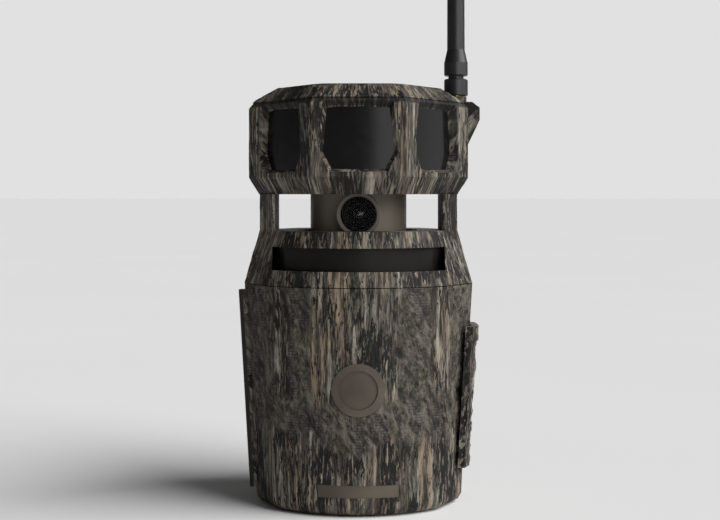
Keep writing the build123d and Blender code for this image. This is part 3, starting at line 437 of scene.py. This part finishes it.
def wrapped_cell(name):
    """Battery jacket: dark film with a plain coloured band near the top and seam wrinkles."""
    g = Graph(name)
    band = g.between(g.height(), CELL_TOP - BAND_W, CELL_TOP - BAND_W + 0.5 * MM)
    wrinkle = g.noise(500.0, 3.0, 0.6, g.stretch(1, 1, 0.2))
    copper = g.ramp(wrinkle, (0.3, (0.42, 0.20, 0.08)), (0.7, (0.55, 0.28, 0.12)))
    g.set(Base_Color=g.mix(band, (0.02, 0.02, 0.022), copper), Metallic=0.4)
    g.set(Roughness=g.between(wrinkle, 0.3, 0.7, 0.25, 0.4))
    g.bump(wrinkle, 0.00005, 0.4)
    return g.material


MATERIALS = {
    "bark": bark("bark"),
    "tan": moulded("tan", (0.074, 0.058, 0.041), 0.5, mottle=0.35),
    "turret": moulded("turret", (0.105, 0.086, 0.065), 0.42, mottle=0.1),
    "satin_black": moulded("satin_black", (0.012, 0.012, 0.012), 0.34, mottle=0.15),
    "bezel": moulded("bezel", (0.003, 0.003, 0.003), 0.7, mottle=0.15, spec=0.08),
    "matt_black": moulded("matt_black", (0.022, 0.022, 0.023), 0.6),
    "panel": moulded("panel", (0.030, 0.030, 0.031), 0.5),
    "grey_nylon": moulded("grey_nylon", (0.42, 0.42, 0.40), 0.45),
    "white_nylon": moulded("white_nylon", (0.72, 0.71, 0.67), 0.4),
    "key": moulded("key", (0.16, 0.16, 0.165), 0.62),
    "rubber": moulded("rubber", (0.018, 0.018, 0.018), 0.75, mottle=0.25, grain=0.00006),
    "chip": moulded("chip", (0.012, 0.012, 0.013), 0.45),
    "smoked": smoked("smoked"),
    "slot_black": moulded("slot_black", (0.0075, 0.0070, 0.0055), 0.42, mottle=0.2, spec=0.12),
    "glass": coated_glass("glass"),
    "lens": polished("lens"),
    "lamp": clear("lamp", (0.35, 0.30, 0.36), rough=0.08, through=0.7),
    "steel": metal("steel", (0.55, 0.55, 0.56)),
    "black_steel": metal("black_steel", (0.05, 0.05, 0.052), 0.38),
    "brass": metal("brass", (0.72, 0.50, 0.20), 0.28),
    "tin": metal("tin", (0.62, 0.62, 0.60), 0.4, across=(300, 300, 300)),
    "board": circuit("board", (0.010, 0.085, 0.035)),
    "cell": wrapped_cell("cell"),
}

NODE_MATERIALS = {
    "bark": ["rear_housing", "front_door", "middle_frame", "head_shell", "head_cap", "side_latch"],
    "tan": ["door_badge", "name_plate"],
    "turret": ["turret_drum", "turret_lid"],
    "satin_black": ["aerial_collar", "aerial_whip"],
    "bezel": ["lens_bezel"],
    "matt_black": ["tree_bracket", "battery_tray", "camera_module", "lamp_carrier", "power_socket"],
    "panel": ["control_panel"],
    "grey_nylon": ["drive_plate", "lower_bush", "upper_bush", "mode_switch"],
    "white_nylon": ["turret_gear", "drive_pinion"],
    "key": ["key_ok", "key_up", "key_down", "key_left", "key_right"],
    "rubber": ["door_seal", "power_plug"],
    "chip": ["board_chips", "memory_card", "display_module"],
    "smoked": ["ir_windows"],
    "slot_black": ["motion_lens_front", "motion_lens_rear"],
    "glass": ["lens_cover_glass", "display_glass"],
    "lens": ["lens_element"],
    "lamp": ["infrared_lamps"],
    "steel": ["turret_motor", "battery_springs", "hinge_pin", "latch_pin", "case_screws", "card_socket"],
    "black_steel": ["post_screws", "bracket_screws"],
    "brass": ["tripod_insert", "rear_insert", "aerial_jack"],
    "tin": ["cellular_modem", "motion_sensors", "contact_plate"],
    "board": ["main_board", "lamp_boards", "sensor_ring_board"],
    "cell": ["battery_cells"],
}


def paint(node, key):
    """Gives a CAD node one of the materials."""
    mesh = NODES[node].data
    mesh.materials.clear()
    mesh.materials.append(MATERIALS[key])


for key, names in NODE_MATERIALS.items():
    for node in names:
        paint(node, key)


# ---------------------------------------------------------------- meshes made from the CAD nodes
def welded_triangles(node):
    """A CAD node's points, with coinciding ones merged, and its triangles."""
    mesh = NODES[node].data
    mesh.calc_loop_triangles()
    index, points, merged = {}, [], []
    for vert in mesh.vertices:
        key = tuple(round(c * 1e6) for c in vert.co)
        if key not in index:
            index[key] = len(points)
            points.append(vert.co.copy())
        merged.append(index[key])
    triangles = [tuple(merged[i] for i in t.vertices) for t in mesh.loop_triangles]
    return points, [t for t in triangles if len(set(t)) == 3]


def split_triangle(tri, mids):
    """The one to four triangles that a triangle becomes, given its edges' new middle points."""
    for turn in range(3):
        a, b, c = tri[turn], tri[(turn + 1) % 3], tri[(turn + 2) % 3]
        ab, bc, ca = mids[turn], mids[(turn + 1) % 3], mids[(turn + 2) % 3]
        if ab is not None and bc is not None and ca is not None:
            return [(a, ab, ca), (ab, b, bc), (ca, bc, c), (ab, bc, ca)]
        if ab is not None and bc is None and ca is None:
            return [(a, ab, c), (ab, b, c)]
        if ab is not None and bc is not None:
            return [(a, ab, c), (ab, bc, c), (ab, b, bc)]
    return [tri]


def refine(points, triangles, wanted, edge):
    """Splits edges of the wanted triangles until none is longer than edge. Neighbours stay joined."""
    tags = [wanted(points, t) for t in triangles]
    while True:
        middles = {}
        for tri, tag in zip(triangles, tags):
            for i in range(3 if tag else 0):
                pair = tuple(sorted((tri[i], tri[(i + 1) % 3])))
                if pair not in middles and (points[pair[0]] - points[pair[1]]).length > edge:
                    middles[pair] = len(points)
                    points.append((points[pair[0]] + points[pair[1]]) / 2)
        if not middles:
            return triangles, tags
        cut, cut_tags = [], []
        for tri, tag in zip(triangles, tags):
            mids = [middles.get(tuple(sorted((tri[i], tri[(i + 1) % 3])))) for i in range(3)]
            pieces = split_triangle(tri, mids)
            cut += pieces
            cut_tags += [tag] * len(pieces)
        triangles, tags = cut, cut_tags


def smooth_piece(mesh, material, sharp):
    """An object from a mesh, smooth but for edges that turn more than sharp degrees."""
    mesh.polygons.foreach_set("use_smooth", [True] * len(mesh.polygons))
    mesh.set_sharp_from_angle(angle=math.radians(sharp))
    mesh.materials.append(MATERIALS[material])
    piece = bpy.data.objects.new(mesh.name, mesh)
    bpy.context.scene.collection.objects.link(piece)
    return piece


# ---------------------------------------------------------------- the patterns of the bark
def smooth_step(low, high, value):
    """0 at low and 1 at high, which may be the smaller of the two."""
    share = max(0.0, min(1.0, (value - low) / (high - low)))
    return share * share * (3 - 2 * share)


def stepped(value, step):
    """Level terraces with short slopes between them."""
    base = math.floor(value / step)
    return step * (base + smooth_step(0.55, 1.0, value / step - base))


def field(x, y, z, seed, octaves=3):
    """Smooth noise round 0 at already scaled coordinates. Each seed reads another part of it."""
    return noise.fractal(Vector((x + 17.3 * seed, y - 9.1 * seed, z + 5.7 * seed)), 0.8, 2.1, octaves)


def flutes(p):
    """Upright bark ridges: long cracks and plates, higher than wide."""
    sway = 2.5 * MM * field(p.x * 25, p.y * 25, p.z * 25, seed=1, octaves=2)
    ridge = field((p.x + sway) * 330, (p.y + sway) * 330, p.z * 22, seed=2)
    plate = field((p.x + sway) * 110, (p.y + sway) * 110, p.z * 16, seed=3, octaves=2)
    return max(-1.0, min(1.0, 0.9 * ridge + 0.6 * plate))


def crags(p):
    """Stony bark: crumpled plates with slanting creases."""
    slant = 0.83 * p.x + 0.56 * p.z
    along = 0.83 * p.z - 0.56 * p.x
    lump = field(slant * 75, p.y * 75, along * 45, seed=4, octaves=4)
    crease = 1 - 2.6 * abs(field(slant * 150, p.y * 150, along * 60, seed=5))
    chip = field(slant * 420, p.y * 420, along * 150, seed=9, octaves=2)
    return 0.7 * lump + 0.5 * crease + 0.28 * chip


# ---------------------------------------------------------------- where the relief goes
def faces_out(points, triangle):
    """True for a triangle on the outer skin of a shell round the Z axis."""
    a, b, c = (points[i] for i in triangle)
    normal = (b - a).cross(c - a)
    centre = (a + b + c) / 3
    radial = Vector((centre.x, centre.y, 0))
    if normal.length < NO_AREA or radial.length < AXIS_RADIUS:
        return False
    return normal.normalized().dot(radial.normalized()) > OUTWARD


def hinge_clearance(p):
    """0 on the knuckles and beside them, where the door folds back, 1 away from the hinge."""
    if p.z > PIN_HIGH.z + 2 * MM:
        return 1.0
    axis_x = PIN_HIGH.x - PIN_R - LEAN * (p.z - PIN_LOW.z)
    return smooth_step(*HINGE_CLEAR, math.hypot(p.x - axis_x, p.y - PIN_Y))


def trim_clearance(p):
    """0 under the badge and the name plate, 1 away from them."""
    across, up = p.x - BADGE_CENTRE.x, p.z - BADGE_CENTRE.z
    badge = smooth_step(BADGE_R, BADGE_R + BADGE_FADE, math.hypot(across, up))
    beyond_x = abs(p.x) - (PLATE_HIGH.x + PLATE_MARGIN)
    beyond_z = abs(p.z - PLATE_CENTRE.z) - (PLATE_HIGH.z - PLATE_LOW.z) / 2 - PLATE_MARGIN
    plate = smooth_step(0.0, PLATE_FADE, max(beyond_x, beyond_z))
    return min(badge, plate)


def rocky_share(p):
    """1 on the stony parts of the door, 0 on its fluted middle, outer columns and foot."""
    jag = JAG_REACH * field(p.x * 60, p.y * 60, p.z * 22, seed=6)
    side = abs(p.x) + jag
    middle = smooth_step(*MIDDLE_ENDS, side)
    column = smooth_step(*COLUMN_STARTS, side) * smooth_step(*COLUMN_BASE, p.z + 1.5 * jag)
    column *= smooth_step(*COLUMN_ENDS, side)
    below_badge = smooth_step(*LOW_STONE, p.z - 1.5 * jag)
    above_foot = smooth_step(*FOOT_ENDS, p.z - FOOT_RISE * abs(p.x) + 2.6 * jag)
    return max(middle * (1 - column), below_badge) * above_foot


def in_hood(p):
    """True in the recess above a window, under the cap's overhang, where painted shade darkens the print.
    """
    slant_depth = FACET_REACH - FACET_NORMAL[0] * abs(p.x) - FACET_NORMAL[1] * abs(p.y)
    return p.z > HOOD_Z and min(HEAD_HIGH.y - abs(p.y), slant_depth) > HOOD_DEPTH


def strip_share(p):
    """1 on the plain dark strip along the hinge, 0 elsewhere."""
    if p.z >= PIN_HIGH.z + MM:
        return 0.0
    return smooth_step(STRIP_X + STRIP_FADE, STRIP_X - STRIP_FADE, p.x + p.z * LEAN)


# ---------------------------------------------------------------- how high each shell's relief is
def door_height(p):
    if p.z > DOOR_HIGH.z - DOOR_TOP_EDGE or p.z < DOOR_LOW.z + DOOR_FOOT_EDGE:
        return 0.0
    rock = rocky_share(p)
    stony = stepped(crags(p) * STONE_DEPTH, STONE_STEP)
    ridged = flutes(p) * DOOR_FLUTE_DEPTH
    return (rock * stony + (1 - rock) * ridged - SUNK) * trim_clearance(p) * hinge_clearance(p)


def latch_height(p):
    chunk = field(p.x * 60, p.y * 120, p.z * 130, seed=8)
    return stepped(chunk * LATCH_DEPTH, LATCH_STEP) + flutes(p) * LATCH_FLUTE_DEPTH - SUNK


def fluted_height(p):
    return flutes(p) * SHELL_FLUTE_DEPTH - SHELL_SUNK


def housing_height(p):
    return fluted_height(p) * hinge_clearance(p)


# ---------------------------------------------------------------- how stony the print is, and how much painted shade darkens it
def door_zones(p):
    rock = rocky_share(p)
    depth = crags(p) if rock > 0.5 else flutes(p)
    # painted shade in the creases: the print is darker where the relief is lowest
    return rock, smooth_step(0.25, 0.8, -depth)


def fluted_zones(p):
    # painted shade in the creases: the print is darker where the flutes are lowest
    return 0.0, smooth_step(0.35, 0.9, -flutes(p))


def head_zones(p):
    rock, painted_shade = fluted_zones(p)
    # painted shade: the hoods above the windows are printed nearly black
    return rock, 0.95 if in_hood(p) else painted_shade


# ---------------------------------------------------------------- moulded relief on the shells
def kept_in_box(point):
    """The point, moved back into the CAD box where relief would take it out."""
    return Vector(max(low, min(high, c)) for c, low, high in zip(point, *CAD_BOX))


def outer_points(count, triangles, tags):
    """Which of the points touch no untagged triangle, so that relief may move them."""
    free = [True] * count
    for tri, tag in zip(triangles, tags):
        if not tag:
            for i in tri:
                free[i] = False
    return free


def print_attributes(mesh, points, normals, zones):
    """Writes what the bark material reads: rock, painted_shade (painted shade), strip and level."""
    pairs = [zones(p) for p in points]
    values = {
        "rock": [rock for rock, _ in pairs],
        "painted_shade": [painted_shade for _, painted_shade in pairs],
        "strip": [strip_share(p) for p in points],
        "level": [1.0 if abs(n.z) > LEVEL_NORMAL else 0.0 for n in normals],
    }
    for name, numbers in values.items():
        layer = mesh.attributes.new(name, "FLOAT", "POINT")
        layer.data.foreach_set("value", numbers)


def relieve(node, body, edge, height, zones):
    """Puts moulded relief on a shell: height gives metres outwards, zones the print's attributes."""
    points, triangles = welded_triangles(node)
    triangles, tags = refine(points, triangles, faces_out, edge)
    mesh = bpy.data.meshes.new(node + "_relief")
    mesh.from_pydata([tuple(p) for p in points], [], triangles)
    mesh.update()
    normals = [v.normal.copy() for v in mesh.vertices]
    for vert, normal, free in zip(mesh.vertices, normals, outer_points(len(points), triangles, tags)):
        if free:
            vert.co = kept_in_box(vert.co + normal * height(vert.co))
    print_attributes(mesh, points, normals, zones)
    copy = smooth_piece(mesh, "bark", 38)
    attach(copy, body)
    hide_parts(node)


relieve("front_door", "door", FINE_EDGE, door_height, door_zones)
relieve("side_latch", "latch", FINE_EDGE, latch_height, fluted_zones)
relieve("rear_housing", "case", COARSE_EDGE, housing_height, fluted_zones)
relieve("middle_frame", "case", MIDDLE_EDGE, fluted_height, fluted_zones)
relieve("head_shell", "case", MIDDLE_EDGE, fluted_height, head_zones)
relieve("head_cap", "case", MIDDLE_EDGE, fluted_height, fluted_zones)


# ---------------------------------------------------------------- slightly bulging windows
def facing(turn):
    """The level direction that is turn degrees about Z from the front."""
    angle = math.radians(turn)
    return Vector((math.sin(angle), -math.cos(angle), 0))


def bulge_panes():
    """The smoked panes with crowned outer faces, in place of the flat ones."""
    points, triangles = welded_triangles("ir_windows")
    triangles, _ = refine(points, triangles, lambda *_: True, COARSE_EDGE)
    reach = max(-p.y for p in points)
    for i, p in enumerate(points):
        outwards = max((facing(t) for t in FACET_TURNS), key=lambda n: n.dot(p))
        across = Vector((-outwards.y, outwards.x, 0)).dot(p)
        depth = outwards.dot(p)
        pane_face = reach if abs(outwards.x) < 0.01 else SLANT_PANE_REACH
        if abs(depth - pane_face) < ON_FACE:
            points[i] = p + outwards * PANE_BULGE * max(0.0, 1 - (across / PANE_HALF_W) ** 2)
    mesh = bpy.data.meshes.new("ir_windows_bulged")
    mesh.from_pydata([tuple(p) for p in points], [], triangles)
    panes = smooth_piece(mesh, "smoked", 40)
    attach(panes, "case")
    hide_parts("ir_windows")


bulge_panes()


# ---------------------------------------------------------------- domed front lens element
def lens_profile():
    """(radius, y) points from the tip of the dome back to the closed rear face."""
    reach = (ELEMENT_HIGH.x - ELEMENT_LOW.x) / 2
    ball = (reach ** 2 + DOME_RISE ** 2) / (2 * DOME_RISE)
    dome = []
    for step in range(1, DOME_STEPS + 1):
        radius = reach * step / DOME_STEPS
        dome.append((radius, ELEMENT_LOW.y + ball - math.sqrt(ball ** 2 - radius ** 2)))
    return dome + [(reach, ELEMENT_HIGH.y)]


def dome_lens():
    """The lens element turned about its axis, with a convex front that catches the light."""
    middle = (ELEMENT_LOW + ELEMENT_HIGH) / 2
    profile = lens_profile()
    points = [(middle.x, ELEMENT_LOW.y, middle.z)]
    for radius, y in profile:
        for k in range(LENS_TURNS):
            angle = 2 * math.pi * k / LENS_TURNS
            across, up = radius * math.cos(angle), radius * math.sin(angle)
            points.append((middle.x + across, y, middle.z + up))
    faces = []
    for k in range(LENS_TURNS):
        after = (k + 1) % LENS_TURNS
        faces.append((0, 1 + k, 1 + after))
        for ring in range(len(profile) - 1):
            near, far = 1 + ring * LENS_TURNS, 1 + (ring + 1) * LENS_TURNS
            faces.append((near + k, far + k, far + after, near + after))
    last = 1 + (len(profile) - 1) * LENS_TURNS
    faces.append(tuple(last + LENS_TURNS - 1 - k for k in range(LENS_TURNS)))
    mesh = bpy.data.meshes.new("lens_dome")
    mesh.from_pydata(points, [], faces)
    lens = smooth_piece(mesh, "lens", 40)
    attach(lens, "turret")
    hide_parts("lens_element")


dome_lens()


# ---------------------------------------------------------------- stage, lights and camera
def keep_off_floor(lamp, floor):
    """Light linking: a softbox lights the object only, so the floor stays even."""
    unlit = bpy.data.collections.new(lamp.name + "_linking")
    unlit.objects.link(floor)
    unlit.collection_objects[0].light_linking.link_state = "EXCLUDE"
    lamp.light_linking.receiver_collection = unlit


def area_light(name, place, target, size, power, floor):
    """A softbox at place, turned towards target, that neither shows nor lights the floor."""
    light = bpy.data.lights.new(name, "AREA")
    light.shape = "RECTANGLE"
    light.size, light.size_y = size
    light.energy = power
    lamp = bpy.data.objects.new(name, light)
    lamp.location = place
    lamp.rotation_euler = (Vector(target) - Vector(place)).to_track_quat("-Z", "Y").to_euler()
    lamp.visible_camera = False
    bpy.context.scene.collection.objects.link(lamp)
    keep_off_floor(lamp, floor)


def sun_light(name, towards, strength, spread):
    """A soft directional light that shines along towards."""
    light = bpy.data.lights.new(name, "SUN")
    light.energy = strength
    light.angle = math.radians(spread)
    lamp = bpy.data.objects.new(name, light)
    lamp.rotation_euler = Vector(towards).to_track_quat("-Z", "Y").to_euler()
    bpy.context.scene.collection.objects.link(lamp)


def make_floor():
    """A plain pale floor under the flat base."""
    floor_mesh = bpy.data.meshes.new("floor")
    bm = bmesh.new()
    bmesh.ops.create_grid(bm, x_segments=4, y_segments=4, size=FLOOR_HALF)
    bm.to_mesh(floor_mesh)
    bm.free()
    floor = bpy.data.objects.new("floor", floor_mesh)
    floor.location.z = CAD_BOX[0][2] - FLOOR_DROP
    bpy.context.scene.collection.objects.link(floor)
    g = Graph("floor")
    g.set(Base_Color=g.mottled(3.0, 0.0, (0.94, 0.94, 0.94), (0.95, 0.95, 0.95)))
    g.set(Roughness=0.9, Specular_IOR_Level=0.1)
    floor.data.materials.append(g.material)
    return floor


def make_world():
    """A plain background, seen at one brightness and shedding less light than it shows."""
    world = bpy.data.worlds.new("studio")
    world.use_nodes = True
    tree = world.node_tree
    background = tree.nodes["Background"]
    background.inputs["Color"].default_value = (1, 1, 1, 1)
    path = tree.nodes.new("ShaderNodeLightPath")
    level = tree.nodes.new("ShaderNodeMapRange")
    level.inputs["To Min"].default_value = WORLD_LIGHT
    level.inputs["To Max"].default_value = BACKDROP
    tree.links.new(path.outputs["Is Camera Ray"], level.inputs["Value"])
    tree.links.new(level.outputs["Result"], background.inputs["Strength"])
    bpy.context.scene.world = world


def make_camera():
    """Level camera in front of the object, about as high as the top of the turret."""
    data = bpy.data.cameras.new("camera")
    data.sensor_width = SENSOR_W
    data.lens = LENS
    data.shift_y = CAMERA_SHIFT
    camera = bpy.data.objects.new("camera", data)
    camera.location = CAMERA_PLACE
    camera.rotation_euler = (math.radians(90), 0, 0)
    bpy.context.scene.collection.objects.link(camera)
    bpy.context.scene.camera = camera


floor = make_floor()
make_world()
make_camera()
bpy.context.scene.view_settings.view_transform = "Standard"
sun_light("key", towards=(-0.98, 0.32, -0.80), strength=3.6, spread=60)
for name, place, target, size, power in SOFTBOXES:
    area_light(name, place, target, size, power, floor)
